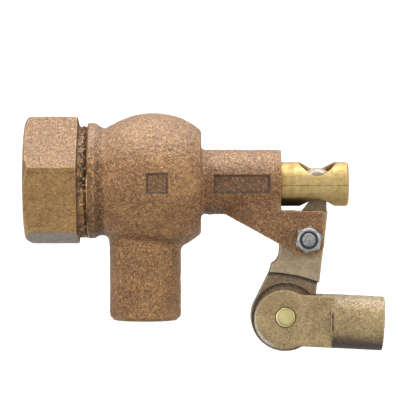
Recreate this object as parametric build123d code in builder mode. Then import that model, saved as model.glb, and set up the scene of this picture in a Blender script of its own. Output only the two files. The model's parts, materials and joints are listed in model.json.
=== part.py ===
"""Float valve for a tank: a cast bronze globe body with a screwed hex inlet and a plain outlet spigot
pointing down, a brass plunger that carries a rubber disc onto the seat, and a lever with an adjustable
clevis arm whose socket takes the float rod.

Millimetres. The origin is the centre of the inlet face. +X runs along the inlet, the plunger and its guide
barrel, +Z is up, and the outlet points along -Z. The valve is drawn fully open, with the float arm on its
stop.
"""
import os
from math import asin, cos, hypot, radians, sin, sqrt, tan

from build123d import *

os.makedirs("parts", exist_ok=True)

# ---- driving dimensions ---------------------------------------------------------------------------------
# Inlet adapter: a hex with a female 1 inch pipe thread, screwed into the body.
HEX_CORNER_R = 31.65
INLET_CAST_RISE = 0.7
HEX_END_X = 25.0
HEX_TURN = -11.0
HEX_FACE_R = 27.4
HEX_EDGE = 0.6
HEX_BEVEL_ANGLE = 30.0
INLET_THREAD_R = 15.7
INLET_THREAD_DEPTH = 19.0
INLET_THREAD_RUNOUT = 2.0
WATERWAY_R = 12.5
SHOULDER_R = 25.7
SHOULDER_END_X = 28.2
ADAPTER_END_X = 43.5
BODY_THREAD_R = 21.5
SEAT_POCKET_DEPTH = 8.0
FIT = 0.05

# Body casting: collar, waist, globe, guide barrel and outlet spigot.
BODY_FACE_X = 29.0
GASKET_R = 25.4
COLLAR_R = 27.2
COLLAR_FACE_EDGE = 0.6
COLLAR_END_X = 32.6
COLLAR_EDGE = 0.8
COLLAR_FOOT_X = 37.5
COLLAR_FOOT_R = 24.0
WAIST_R = 25.05
GLOBE_X = 60.45
GLOBE_R = 32.4
SHOULDER_ARC_R = 40.0
CHAMBER_R = 27.4
CHAMBER_END_X = 78.0
BODY_END_X = 82.2
BODY_END_EDGE = 1.8
BARREL_R = 15.2
BARREL_END_X = 119.5
BARREL_EDGE = 1.0
OUTLET_X = 56.0
OUTLET_R = 16.7
OUTLET_BORE_R = 13.3
OUTLET_END_Z = -64.9
OUTLET_BEVEL = 2.1
OUTLET_TURNED_Z = -38.0
OUTLET_DRAFT_R = 17.2
OUTLET_DRAFT_Z = -10.0
OUTLET_ROOT = 3.0

# Sunken, blank casting panels on the front of the barrel and of the globe.
BARREL_PANEL_LENGTH, BARREL_PANEL_HEIGHT = 25.4, 7.8
BARREL_PANEL_X, BARREL_PANEL_Z = 101.0, -0.8
BARREL_PANEL_Y = 14.0
GLOBE_PANEL_LENGTH, GLOBE_PANEL_HEIGHT = 9.2, 8.6
GLOBE_PANEL_X, GLOBE_PANEL_Z = 61.9, -0.4
GLOBE_PANEL_Y = 31.2
PANEL_CORNER = 0.6

# Lever yoke: a web under the barrel that splits into two ears.
PIVOT_X, PIVOT_Z = 131.8, -26.7
WEB_START_X, WEB_START_Z = 91.0, -13.7
WEB_START_Y = 6.0
WEB_FULL_X = 106.0
EAR_BOTTOM_START_X = 127.8
EAR_BOTTOM_Z = -34.0
EAR_END_X = 139.4
EAR_TOP_Z = -13.3
EAR_OUTER_Y = 12.5
EAR_INNER_Y = 7.5
EAR_SLOT_X = 116.0
EAR_CORNER = 5.0
EAR_SLOT_TOP_Z = -15.9
EAR_OPEN_TOP_Z = -11.2
CAST_EDGE = 1.0

# Lever, drawn with the valve open. Its head sits in the plunger, whose axis is a little below the inlet's.
PLUNGER_Z = -0.9
HEAD_X = 136.4
HEAD_R = 7.75
HEAD_HALF = 5.2
NECK_HALF = 3.1
NECK_LEFT_X, NECK_RIGHT_X = 132.9, 139.6
NECK_SHOULDER_X = 140.9
NECK_SHOULDER_Z = -8.8
LEVER_HALF = 7.2
LEVER_EDGE = 0.8
LEVER_TOP_LEFT = (129.4, -13.4)
LEVER_TOP_RIGHT = (141.2, -13.8)
LEVER_BACK_HIGH = (118.8, -28.4)
LEVER_BACK_LOW = (118.6, -32.9)
HOLLOW_END = (115.1, -37.9)
HOLLOW_R = 6.0
LEDGE_LEFT = (113.9, -42.2)
LEDGE_MIDDLE = (125.8, -43.6)
LEDGE_RIGHT = (137.3, -46.9)
TONGUE_HALF = 5.5
TONGUE_LEFT_TOP = (115.6, -38.0)
TONGUE_LEFT_MIDDLE = (113.6, -42.6)
TONGUE_LEFT_LOW = (106.6, -56.6)
TONGUE_RIGHT_LOW = (135.7, -53.5)
TONGUE_RIGHT_TOP = (136.6, -45.0)
CLEVIS_X, CLEVIS_Z = 121.4, -62.9
TONGUE_R = 16.1
RECESS_R = 15.8
RECESS_HALF = 4.9
RECESS_DEPTH = 4.0
RECESS_GAP = 0.3
RECESS_STOP_HEIGHT = 7.0
BUSH_R = 5.0

# Clevis, in a frame at its bolt that droops a little below +X.
DROOP = 2.9
ARM_OFFSET = -1.1
CHEEK_R = 14.0
CHEEK_BACK = 0.55
CHEEK_OUTER = 10.5
CHEEK_INNER = 4.95
NECK_HALF_HEIGHT = 12.1
NECK_HOLLOW = 6.0
CHEEK_EDGE = 0.9
SLOT_END = 17.0
SOCKET_START, SOCKET_END = 21.0, 46.2
SOCKET_R = 12.7
SOCKET_EDGE = 0.8
ROD_THREAD_R = 4.0
ROD_THREAD_DEPTH = 19.0

# Seat, disc and plunger. The plunger moves STROKE towards the inlet as the lever swings SWING degrees.
SWING = 14.0
LEVER_LENGTH = hypot(HEAD_X - PIVOT_X, PLUNGER_Z - PIVOT_Z)
OPEN_ANGLE = asin((HEAD_X - PIVOT_X) / LEVER_LENGTH)
STROKE = LEVER_LENGTH * (sin(OPEN_ANGLE) - sin(OPEN_ANGLE - radians(SWING)))
SEAT_LIP_X = 46.0
SEAT_GAP = 0.1
ORIFICE_R = 9.5
SEAT_THREAD_R = 14.0
SEAT_THREAD_LENGTH = 7.0
SEAT_FLANGE_R = 17.0
SEAT_FLANGE = 1.0
SEAT_GASKET = 0.6
SEAT_LIP_BASE_R, SEAT_LIP_R = 11.7, 10.7
SEAT_LIP_CHAMFER = 0.4
SPANNER_SLOT = 3.0
DISC_FACE_X = SEAT_LIP_X + STROKE + SEAT_GAP
DISC_R = 12.6
DISC_HOLE_R = 2.6
DISC_THICKNESS = 4.0
DISC_PROUD = 0.8
DISC_EDGE = 0.5
DISC_WASHER_R = 6.5
DISC_WASHER = 1.2
SCREW_R = 2.4
SCREW_LENGTH = 13.0
SCREW_HEAD_R = 4.4
SCREW_HEAD = 2.6
SCREW_SLOT_WIDTH, SCREW_SLOT_DEPTH = 1.2, 1.3
HOLDER_R = 15.0
HOLDER_THICKNESS = 7.0
HOLDER_CHAMFER = 1.5
HOLDER_STEM_R = 8.0
HOLDER_STUD_R = 4.8
HOLDER_STUD = 12.0
HOLDER_SCREW_DEPTH = 9.0
PLUNGER_START_X = 66.0
PLUNGER_END_X = 150.9
PLUNGER_R = 10.32
PLUNGER_CHAMFER = 0.8
PLUNGER_STUD_DEPTH = 14.0
PLUNGER_ROLL = 10.5
CROSS_HOLE_R = 8.75
O_RING_XS = (91.0, 110.0)
O_RING_SECTION_R = 1.05
O_RING_GROOVE = 2.6
O_RING_SQUEEZE = 0.02

# Fasteners.
BOLT_R = 3.175
BOLT_HEAD_FLATS = 11.1
BOLT_HEAD = 4.2
BOLT_HEAD_CHAMFER = 0.4
BOLT_END_CHAMFER = 0.5
WASHER_CLEARANCE = 0.15
WASHER_R = 7.0
WASHER_THICKNESS = 1.2
NUT_FLATS = 11.5
NUT_TURN = 19.0
NUT_HEX = 5.2
NUT_HEIGHT = 7.4
NUT_CORNER_HEIGHT, NUT_CORNER_DEPTH = 0.7, 0.35
NUT_CROWN_R = 5.55
NUT_CROWN_EDGE = 0.9
NUT_THREAD_CLEARANCE = 0.02
INSERT_R = 4.25
INSERT_DEPTH = 2.4
INSERT_SUNK = 0.3
STUD_END = 0.7
CLEVIS_BOLT_R = 4.7
CLEVIS_BOLT_SLACK = 0.06
CLEVIS_BOLT_PROUD = 0.3
CLEVIS_BOLT_CHAMFER = 0.6
CLEVIS_HEAD_FLATS = 14.3
CLEVIS_HEAD_TURN = 12.0
CLEVIS_HEAD = 5.6
LOCK_WASHER_R = 7.6
LOCK_WASHER_THICKNESS = 2.2
LOCK_WASHER_SPLIT = 0.8


def save(finished, name):
    """Labels a finished piece and writes it as its own node."""
    finished.label = name
    export_step(finished, f"parts/{name}.step")


def hex_radius(flats):
    """Corner radius of a hexagon from its width across flats."""
    return flats / 2 / cos(radians(30))


def facing(x, y, z, toward):
    """A plane across the Y axis at a point, facing along -Y (toward=-1) or +Y (toward=1)."""
    return Plane(origin=(x, y, z), x_dir=(1, 0, 0), z_dir=(0, toward, 0))


def across(x):
    """A plane across the plunger at x, centred on the plunger's axis and facing +X."""
    return Plane(origin=(x, 0, PLUNGER_Z), x_dir=(0, 1, 0), z_dir=(1, 0, 0))


# The hex and the collar are cast a little above the axis that the threads are turned on.
inlet_cast_axis = Axis((0, 0, INLET_CAST_RISE), (1, 0, 0))
inlet_cast_plane = Plane(origin=(0, 0, INLET_CAST_RISE), x_dir=(1, 0, 0), z_dir=(0, -1, 0))
plunger_axis = Axis((0, 0, PLUNGER_Z), (1, 0, 0))
plunger_plane = Plane(origin=(0, 0, PLUNGER_Z), x_dir=(1, 0, 0), z_dir=(0, -1, 0))
arm_plane = Plane(
    origin=(CLEVIS_X, 0, CLEVIS_Z),
    x_dir=(cos(radians(DROOP)), 0, -sin(radians(DROOP))),
    z_dir=(0, -1, 0),
)
socket_plane = Plane(
    origin=arm_plane.from_local_coords(Vector(SOCKET_START, ARM_OFFSET, 0)),
    x_dir=(0, -1, 0),
    z_dir=arm_plane.x_dir,
)

# ---- lever yoke of the body: its side outline, narrowed in plan towards the globe -----------------------
with BuildPart() as yoke:
    with BuildSketch(Plane.XZ):
        with BuildLine():
            Polyline(
                (WEB_START_X, 0),
                (WEB_START_X, WEB_START_Z),
                (EAR_BOTTOM_START_X, EAR_BOTTOM_Z),
                (EAR_END_X, EAR_BOTTOM_Z),
                (EAR_END_X, EAR_TOP_Z),
                (BARREL_END_X - 0.5, EAR_TOP_Z),
                (BARREL_END_X - 0.5, 0),
                close=True,
            )
        outline = make_face()
        low = outline.vertices().filter_by(lambda v: abs(v.Y - EAR_BOTTOM_Z) < 0.1)
        fillet(low, EAR_CORNER)
    extrude(amount=EAR_OUTER_Y, both=True)
    with BuildSketch(Plane.XY):
        with BuildLine():
            Polyline(
                (WEB_START_X, -WEB_START_Y),
                (WEB_FULL_X, -EAR_OUTER_Y),
                (EAR_END_X, -EAR_OUTER_Y),
                (EAR_END_X, EAR_OUTER_Y),
                (WEB_FULL_X, EAR_OUTER_Y),
                (WEB_START_X, WEB_START_Y),
                close=True,
            )
        make_face()
    extrude(amount=2 * EAR_BOTTOM_Z, both=True, mode=Mode.INTERSECT)
    side_edges = yoke.edges().filter_by(lambda e: abs(e.center().Y) > WEB_START_Y)
    side_edges = side_edges.filter_by(lambda e: abs(e.tangent_at(0.5).Y) < 0.5)
    under_edges = side_edges.filter_by(lambda e: e.center().Z < EAR_TOP_Z - 1)
    fillet(under_edges.filter_by(Axis.Z, reverse=True), CAST_EDGE)

# ---- valve body -----------------------------------------------------------------------------------------
with BuildPart() as valve_body:
    # Waist, globe and guide barrel are one turned shape. The globe's inlet side is the flatter arc.
    with BuildSketch(Plane.XZ):
        waist_end = GLOBE_X - sqrt(SHOULDER_ARC_R**2 - (WAIST_R - GLOBE_R + SHOULDER_ARC_R) ** 2)
        globe_end = sqrt(GLOBE_R**2 - (BODY_END_X - GLOBE_X) ** 2)
        with BuildLine():
            Polyline(
                (BODY_FACE_X, 0),
                (BODY_FACE_X, WAIST_R),
                (waist_end, WAIST_R),
            )
            RadiusArc((waist_end, WAIST_R), (GLOBE_X, GLOBE_R), SHOULDER_ARC_R)
            RadiusArc((GLOBE_X, GLOBE_R), (BODY_END_X, globe_end), GLOBE_R)
            Polyline(
                (BODY_END_X, globe_end),
                (BODY_END_X, BARREL_R),
                (BARREL_END_X, BARREL_R),
                (BARREL_END_X, 0),
                (BODY_FACE_X, 0),
            )
        shell = make_face()
        rim = shell.vertices().filter_by(lambda v: v.Y > 1)
        fillet(rim.filter_by(lambda v: abs(v.X - BODY_END_X) < 0.1), BODY_END_EDGE)
        fillet(rim.filter_by(lambda v: abs(v.X - BARREL_END_X) < 0.1), BARREL_EDGE)
    revolve(axis=Axis.X)

    # Collar, sloping down into the waist.
    with BuildSketch(inlet_cast_plane):
        with BuildLine():
            Polyline(
                (BODY_FACE_X, 0),
                (BODY_FACE_X, COLLAR_R),
                (COLLAR_END_X, COLLAR_R),
                (COLLAR_FOOT_X, COLLAR_FOOT_R),
                (COLLAR_FOOT_X, 0),
                close=True,
            )
        collar = make_face()
        rim = collar.vertices().filter_by(lambda v: v.Y > COLLAR_FOOT_R + 1)
        fillet(rim.filter_by(lambda v: abs(v.X - BODY_FACE_X) < 0.1), COLLAR_FACE_EDGE)
        fillet(rim.filter_by(lambda v: abs(v.X - COLLAR_END_X) < 0.1), COLLAR_EDGE)
    revolve(axis=inlet_cast_axis)

    # Outlet spigot: turned true at its lower end, with the casting's draft above.
    with BuildSketch(Plane.XZ):
        with BuildLine():
            Polyline(
                (OUTLET_X, OUTLET_END_Z),
                (OUTLET_X + OUTLET_R, OUTLET_END_Z),
                (OUTLET_X + OUTLET_R, OUTLET_TURNED_Z),
                (OUTLET_X + OUTLET_DRAFT_R, OUTLET_DRAFT_Z),
                (OUTLET_X, OUTLET_DRAFT_Z),
                close=True,
            )
        make_face()
    revolve(axis=Axis((OUTLET_X, 0, 0), (0, 0, 1)))
    spigot_root = valve_body.edges().filter_by(GeomType.CIRCLE, reverse=True)
    spigot_root = spigot_root.filter_by(lambda e: OUTLET_END_Z / 2 < e.center().Z < -GLOBE_R / 2)
    fillet(spigot_root, OUTLET_ROOT)
    spigot_rim = valve_body.faces().sort_by(Axis.Z)[0].edges()
    chamfer(spigot_rim, OUTLET_BEVEL, OUTLET_BEVEL)
    add(yoke.part)

    # Thread bore, chamber and guide bore.
    with BuildSketch(Plane.XZ):
        chamber_start = GLOBE_X - sqrt(CHAMBER_R**2 - (BODY_THREAD_R + FIT) ** 2)
        chamber_end = sqrt(CHAMBER_R**2 - (CHAMBER_END_X - GLOBE_X) ** 2)
        with BuildLine():
            Polyline(
                (BODY_FACE_X - 1, 0),
                (BODY_FACE_X - 1, BODY_THREAD_R + FIT),
                (chamber_start, BODY_THREAD_R + FIT),
            )
            ThreePointArc(
                (chamber_start, BODY_THREAD_R + FIT),
                (GLOBE_X, CHAMBER_R),
                (CHAMBER_END_X, chamber_end),
            )
            Polyline(
                (CHAMBER_END_X, chamber_end),
                (CHAMBER_END_X, 0),
                (BODY_FACE_X - 1, 0),
            )
        make_face()
    revolve(axis=Axis.X, mode=Mode.SUBTRACT)
    with BuildSketch(across(CHAMBER_END_X - 1)):
        Circle(PLUNGER_R + FIT)
    extrude(amount=BARREL_END_X - CHAMBER_END_X + 2, mode=Mode.SUBTRACT)
    with BuildSketch(Plane.XY.offset(OUTLET_END_Z - 1)):
        with Locations((OUTLET_X, 0)):
            Circle(OUTLET_BORE_R)
    extrude(amount=-OUTLET_END_Z - 10, mode=Mode.SUBTRACT)

    # Slot between the ears, and the pivot hole through both.
    with BuildSketch(Plane.XZ):
        with BuildLine():
            Polyline(
                (EAR_SLOT_X, EAR_SLOT_TOP_Z),
                (BARREL_END_X, EAR_SLOT_TOP_Z),
                (BARREL_END_X, EAR_OPEN_TOP_Z),
                (EAR_END_X + 5, EAR_OPEN_TOP_Z),
                (EAR_END_X + 5, EAR_BOTTOM_Z - 5),
                (EAR_SLOT_X, EAR_BOTTOM_Z - 5),
                close=True,
            )
        make_face()
    extrude(amount=EAR_INNER_Y, both=True, mode=Mode.SUBTRACT)
    with BuildSketch(Plane.XZ):
        with Locations((PIVOT_X, PIVOT_Z)):
            Circle(BOLT_R + FIT)
    extrude(amount=EAR_OUTER_Y + 1, both=True, mode=Mode.SUBTRACT)

    # Blank casting panels on the front.
    with BuildSketch(Plane.XZ.offset(BARREL_PANEL_Y)):
        with Locations((BARREL_PANEL_X, BARREL_PANEL_Z)):
            RectangleRounded(BARREL_PANEL_LENGTH, BARREL_PANEL_HEIGHT, PANEL_CORNER)
    extrude(amount=BARREL_R, mode=Mode.SUBTRACT)
    with BuildSketch(Plane.XZ.offset(GLOBE_PANEL_Y)):
        with Locations((GLOBE_PANEL_X, GLOBE_PANEL_Z)):
            RectangleRounded(GLOBE_PANEL_LENGTH, GLOBE_PANEL_HEIGHT, PANEL_CORNER)
    extrude(amount=GLOBE_R, mode=Mode.SUBTRACT)
save(valve_body.part, "valve_body")

# ---- inlet adapter and its gasket -----------------------------------------------------------------------
with BuildPart() as inlet_adapter:
    with BuildSketch(Plane.YZ):
        with Locations((0, INLET_CAST_RISE)):
            RegularPolygon(HEX_CORNER_R, 6, rotation=HEX_TURN)
    extrude(amount=HEX_END_X)
    bevel = (HEX_CORNER_R - HEX_FACE_R) * tan(radians(HEX_BEVEL_ANGLE))
    with BuildSketch(inlet_cast_plane):
        with BuildLine():
            Polyline(
                (0, 0),
                (0, HEX_FACE_R),
                (bevel, HEX_CORNER_R),
                (HEX_END_X - HEX_EDGE, HEX_CORNER_R),
                (HEX_END_X, HEX_CORNER_R - 2 * HEX_EDGE),
                (HEX_END_X, 0),
                close=True,
            )
        make_face()
    revolve(axis=inlet_cast_axis, mode=Mode.INTERSECT)
    with BuildSketch(Plane.XZ):
        with BuildLine():
            Polyline(
                (HEX_END_X - 1, 0),
                (HEX_END_X - 1, SHOULDER_R),
                (SHOULDER_END_X, SHOULDER_R),
                (SHOULDER_END_X, BODY_THREAD_R),
                (ADAPTER_END_X - 1, BODY_THREAD_R),
                (ADAPTER_END_X, BODY_THREAD_R - 1),
                (ADAPTER_END_X, 0),
                close=True,
            )
        make_face()
    revolve(axis=Axis.X)
    with BuildSketch(Plane.XZ):
        with BuildLine():
            Polyline(
                (0, 0),
                (0, INLET_THREAD_R),
                (INLET_THREAD_DEPTH, INLET_THREAD_R),
                (INLET_THREAD_DEPTH + INLET_THREAD_RUNOUT, WATERWAY_R),
                (ADAPTER_END_X - SEAT_POCKET_DEPTH, WATERWAY_R),
                (ADAPTER_END_X - SEAT_POCKET_DEPTH, SEAT_THREAD_R + FIT),
                (ADAPTER_END_X, SEAT_THREAD_R + FIT),
                (ADAPTER_END_X, 0),
                close=True,
            )
        make_face()
    revolve(axis=Axis.X, mode=Mode.SUBTRACT)
save(inlet_adapter.part, "inlet_adapter")

with BuildPart() as adapter_gasket:
    with BuildSketch(Plane.YZ.offset(SHOULDER_END_X)):
        Circle(GASKET_R)
        Circle(BODY_THREAD_R + 0.2, mode=Mode.SUBTRACT)
    extrude(amount=BODY_FACE_X - SHOULDER_END_X)
save(adapter_gasket.part, "adapter_gasket")

# ---- seat and its gasket --------------------------------------------------------------------------------
flange_x = ADAPTER_END_X + SEAT_GASKET

with BuildPart() as seat_ring:
    with BuildSketch(Plane.XZ):
        with BuildLine():
            Polyline(
                (ADAPTER_END_X - SEAT_THREAD_LENGTH, ORIFICE_R),
                (ADAPTER_END_X - SEAT_THREAD_LENGTH, SEAT_THREAD_R),
                (flange_x, SEAT_THREAD_R),
                (flange_x, SEAT_FLANGE_R),
                (flange_x + SEAT_FLANGE, SEAT_FLANGE_R),
                (flange_x + SEAT_FLANGE, SEAT_LIP_BASE_R),
                (SEAT_LIP_X, SEAT_LIP_R),
                (SEAT_LIP_X, ORIFICE_R + SEAT_LIP_CHAMFER),
                (SEAT_LIP_X - SEAT_LIP_CHAMFER, ORIFICE_R),
                close=True,
            )
        make_face()
    revolve(axis=Axis.X)
    # Two slots for a spanner.
    with BuildSketch(Plane.YZ.offset(flange_x)):
        with PolarLocations(SEAT_FLANGE_R, 2):
            Rectangle(SPANNER_SLOT, SPANNER_SLOT)
    extrude(amount=SEAT_FLANGE, mode=Mode.SUBTRACT)
save(seat_ring.part, "seat_ring")

with BuildPart() as seat_gasket:
    with BuildSketch(Plane.YZ.offset(ADAPTER_END_X)):
        Circle(SEAT_FLANGE_R - 0.4)
        Circle(SEAT_THREAD_R + 0.1, mode=Mode.SUBTRACT)
    extrude(amount=SEAT_GASKET)
save(seat_gasket.part, "seat_gasket")

# ---- plunger with its disc, holder and O-rings ----------------------------------------------------------
with BuildPart() as plunger:
    with BuildSketch(across(PLUNGER_START_X)):
        Circle(PLUNGER_R)
    extrude(amount=PLUNGER_END_X - PLUNGER_START_X)
    chamfer(plunger.edges().filter_by(GeomType.CIRCLE), PLUNGER_CHAMFER)
    for ring_x in O_RING_XS:
        with BuildSketch(across(ring_x - O_RING_GROOVE / 2)):
            Circle(PLUNGER_R + 1)
            Circle(PLUNGER_R - 2 * O_RING_SECTION_R, mode=Mode.SUBTRACT)
        extrude(amount=O_RING_GROOVE, mode=Mode.SUBTRACT)
    with BuildSketch(across(PLUNGER_START_X)):
        Circle(HOLDER_STUD_R + FIT)
    extrude(amount=PLUNGER_STUD_DEPTH, mode=Mode.SUBTRACT)
    # Cross hole for the lever's head, leaning a little towards the front at the top.
    cross_plane = Plane(
        origin=(HEAD_X, 0, PLUNGER_Z),
        x_dir=(1, 0, 0),
        z_dir=(0, -sin(radians(PLUNGER_ROLL)), cos(radians(PLUNGER_ROLL))),
    )
    with BuildSketch(cross_plane):
        Circle(CROSS_HOLE_R)
    extrude(amount=2 * PLUNGER_R, both=True, mode=Mode.SUBTRACT)
save(plunger.part, "plunger")

with BuildPart() as disc_holder:
    holder_back = DISC_FACE_X + HOLDER_THICKNESS
    stud_end = PLUNGER_START_X + HOLDER_STUD
    with BuildSketch(plunger_plane):
        with BuildLine():
            Polyline(
                (DISC_FACE_X + DISC_THICKNESS, 0),
                (DISC_FACE_X + DISC_THICKNESS, DISC_R + 0.1),
                (DISC_FACE_X + DISC_PROUD, DISC_R + 0.1),
                (DISC_FACE_X + DISC_PROUD, HOLDER_R),
                (holder_back - HOLDER_CHAMFER, HOLDER_R),
                (holder_back, HOLDER_R - HOLDER_CHAMFER),
                (holder_back, HOLDER_STEM_R),
                (PLUNGER_START_X, HOLDER_STEM_R),
                (PLUNGER_START_X, HOLDER_STUD_R),
                (stud_end - 1, HOLDER_STUD_R),
                (stud_end, HOLDER_STUD_R - 1),
                (stud_end, 0),
                close=True,
            )
        make_face()
    revolve(axis=plunger_axis)
    with BuildSketch(across(DISC_FACE_X + DISC_THICKNESS)):
        Circle(SCREW_R + FIT)
    extrude(amount=HOLDER_SCREW_DEPTH, mode=Mode.SUBTRACT)
save(disc_holder.part, "disc_holder")

with BuildPart() as seat_disc:
    with BuildSketch(across(DISC_FACE_X)):
        Circle(DISC_R)
        Circle(DISC_HOLE_R, mode=Mode.SUBTRACT)
    extrude(amount=DISC_THICKNESS)
    fillet(seat_disc.faces().sort_by(Axis.X)[0].edges().sort_by(SortBy.LENGTH)[-1:], DISC_EDGE)
save(seat_disc.part, "seat_disc")

with BuildPart() as disc_washer:
    with BuildSketch(across(DISC_FACE_X - DISC_WASHER)):
        Circle(DISC_WASHER_R)
        Circle(DISC_HOLE_R, mode=Mode.SUBTRACT)
    extrude(amount=DISC_WASHER)
save(disc_washer.part, "disc_washer")

with BuildPart() as disc_screw:
    head_x = DISC_FACE_X - DISC_WASHER - SCREW_HEAD
    with BuildSketch(across(head_x)):
        Circle(SCREW_R)
    extrude(amount=SCREW_HEAD + SCREW_LENGTH)
    with BuildSketch(across(head_x)):
        Circle(SCREW_HEAD_R)
    extrude(amount=SCREW_HEAD)
    fillet(disc_screw.faces().sort_by(Axis.X)[0].edges(), 1.0)
    with BuildSketch(across(head_x)):
        Rectangle(3 * SCREW_HEAD_R, SCREW_SLOT_WIDTH)
    extrude(amount=SCREW_SLOT_DEPTH, mode=Mode.SUBTRACT)
save(disc_screw.part, "disc_screw")

with BuildPart() as plunger_o_rings:
    for ring_x in O_RING_XS:
        with BuildSketch(plunger_plane):
            with Locations((ring_x, PLUNGER_R - O_RING_SECTION_R + O_RING_SQUEEZE)):
                Circle(O_RING_SECTION_R)
        revolve(axis=plunger_axis)
save(plunger_o_rings.part, "plunger_o_rings")

# ---- lever and its bush ---------------------------------------------------------------------------------
with BuildPart() as lever:
    # Round head on its neck.
    with BuildSketch(plunger_plane):
        with BuildLine():
            Line((HEAD_X, -HEAD_R), (HEAD_X, HEAD_R))
            RadiusArc((HEAD_X, -HEAD_R), (HEAD_X, HEAD_R), HEAD_R)
        make_face()
    revolve(axis=Axis((HEAD_X, 0, 0), (0, 0, 1)))
    with BuildSketch(plunger_plane):
        with Locations((HEAD_X, 0)):
            Rectangle(3 * HEAD_R, 3 * HEAD_R)
    extrude(amount=HEAD_HALF, both=True, mode=Mode.INTERSECT)
    with BuildSketch(Plane.XZ):
        with BuildLine():
            Polyline(
                (NECK_LEFT_X, NECK_SHOULDER_Z + 4),
                (NECK_LEFT_X, NECK_SHOULDER_Z),
                LEVER_TOP_LEFT,
                (LEVER_TOP_LEFT[0], LEVER_TOP_LEFT[1] - 3),
                (NECK_SHOULDER_X, LEVER_TOP_RIGHT[1] - 3),
                (NECK_SHOULDER_X, NECK_SHOULDER_Z - 0.7),
                (NECK_RIGHT_X, NECK_SHOULDER_Z + 4),
                close=True,
            )
        make_face()
    extrude(amount=NECK_HALF, both=True)

    # Thick part between the ears. It ends in a ledge above the tongue.
    with BuildSketch(Plane.XZ):
        with BuildLine():
            Line(LEDGE_LEFT, HOLLOW_END)
            RadiusArc(HOLLOW_END, LEVER_BACK_LOW, -HOLLOW_R)
            Polyline(LEVER_BACK_LOW, LEVER_BACK_HIGH, LEVER_TOP_LEFT, LEVER_TOP_RIGHT, LEDGE_RIGHT)
            ThreePointArc(LEDGE_RIGHT, LEDGE_MIDDLE, LEDGE_LEFT)
        make_face()
    extrude(amount=LEVER_HALF, both=True)
    lever_sides = lever.faces().filter_by(Axis.Y)
    lever_sides = lever_sides.filter_by(lambda f: abs(f.center().Y) > LEVER_HALF - 0.1)
    fillet(lever_sides.edges(), LEVER_EDGE)

    # Flat tongue with a round end about the clevis bolt.
    with BuildSketch(Plane.XZ):
        with BuildLine():
            Polyline(
                TONGUE_LEFT_TOP,
                TONGUE_LEFT_MIDDLE,
                TONGUE_LEFT_LOW,
                (CLEVIS_X, CLEVIS_Z),
                TONGUE_RIGHT_LOW,
                TONGUE_RIGHT_TOP,
                close=True,
            )
        make_face()
        with Locations((CLEVIS_X, CLEVIS_Z)):
            Circle(TONGUE_R)
    extrude(amount=TONGUE_HALF, both=True)

    # Machined recess on each side of the tongue for the cheeks and for the arm's neck. Its upper edge at the
    # neck is the arm's stop.
    stop_height = NECK_HALF_HEIGHT + ARM_OFFSET + RECESS_GAP
    for side in (-1, 1):
        with BuildSketch(arm_plane.offset(side * RECESS_HALF)):
            Circle(RECESS_R)
            with Locations((0, stop_height)):
                Rectangle(3 * RECESS_R, 3 * RECESS_R, align=(Align.MIN, Align.MAX))
            with Locations((0, RECESS_STOP_HEIGHT)):
                Rectangle(3 * RECESS_R, 3 * RECESS_R, align=(Align.MAX, Align.MAX))
        extrude(amount=side * RECESS_DEPTH, mode=Mode.SUBTRACT)

    # Holes for the pivot bush and the clevis bolt.
    for x, z, radius in ((PIVOT_X, PIVOT_Z, BUSH_R), (CLEVIS_X, CLEVIS_Z, CLEVIS_BOLT_R + CLEVIS_BOLT_SLACK)):
        with BuildSketch(Plane.XZ):
            with Locations((x, z)):
                Circle(radius)
        extrude(amount=LEVER_HALF + 1, both=True, mode=Mode.SUBTRACT)
save(lever.part, "lever")

with BuildPart() as lever_bush:
    with BuildSketch(Plane.XZ):
        with Locations((PIVOT_X, PIVOT_Z)):
            Circle(BUSH_R)
            Circle(BOLT_R + FIT, mode=Mode.SUBTRACT)
    extrude(amount=LEVER_HALF, both=True)
save(lever_bush.part, "lever_bush")

# ---- clevis ---------------------------------------------------------------------------------------------
with BuildPart() as clevis:
    with BuildSketch(arm_plane) as cheek:
        with Locations((-CHEEK_BACK, ARM_OFFSET)):
            Circle(CHEEK_R)
        with Locations((0, ARM_OFFSET)):
            Rectangle(SOCKET_START + 1, 2 * NECK_HALF_HEIGHT, align=(Align.MIN, Align.CENTER))
        notch_x = sqrt(CHEEK_R**2 - NECK_HALF_HEIGHT**2) - CHEEK_BACK
        fillet(cheek.vertices().filter_by(lambda v: abs(v.X - notch_x) < 0.1), NECK_HOLLOW)
    extrude(amount=CHEEK_OUTER, both=True)
    fillet(clevis.faces().filter_by(Axis.Y).edges(), CHEEK_EDGE)
    with BuildSketch(socket_plane):
        Circle(SOCKET_R)
    extrude(amount=SOCKET_END - SOCKET_START)
    socket_ends = clevis.edges().filter_by(GeomType.CIRCLE).filter_by(lambda e: e.radius > SOCKET_R - 0.05)
    fillet(socket_ends.sort_by(Axis.X)[-1:], SOCKET_EDGE)

    # Slot for the tongue, the bolt hole and the rod thread.
    with BuildSketch(arm_plane):
        with Locations((SLOT_END, 0)):
            Rectangle(4 * CHEEK_R, 4 * CHEEK_R, align=(Align.MAX, Align.CENTER))
    extrude(amount=CHEEK_INNER, both=True, mode=Mode.SUBTRACT)
    with BuildSketch(arm_plane):
        Circle(CLEVIS_BOLT_R + FIT)
    extrude(amount=CHEEK_OUTER + 1, both=True, mode=Mode.SUBTRACT)
    with BuildSketch(socket_plane.offset(SOCKET_END - SOCKET_START)):
        Circle(ROD_THREAD_R)
    extrude(amount=-ROD_THREAD_DEPTH, mode=Mode.SUBTRACT)
save(clevis.part, "clevis")

# ---- pivot bolt, washer, lock nut and its nylon insert --------------------------------------------------
head_plane = facing(PIVOT_X, EAR_OUTER_Y + WASHER_THICKNESS, PIVOT_Z, 1)
nut_plane = facing(PIVOT_X, -EAR_OUTER_Y, PIVOT_Z, -1)

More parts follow.
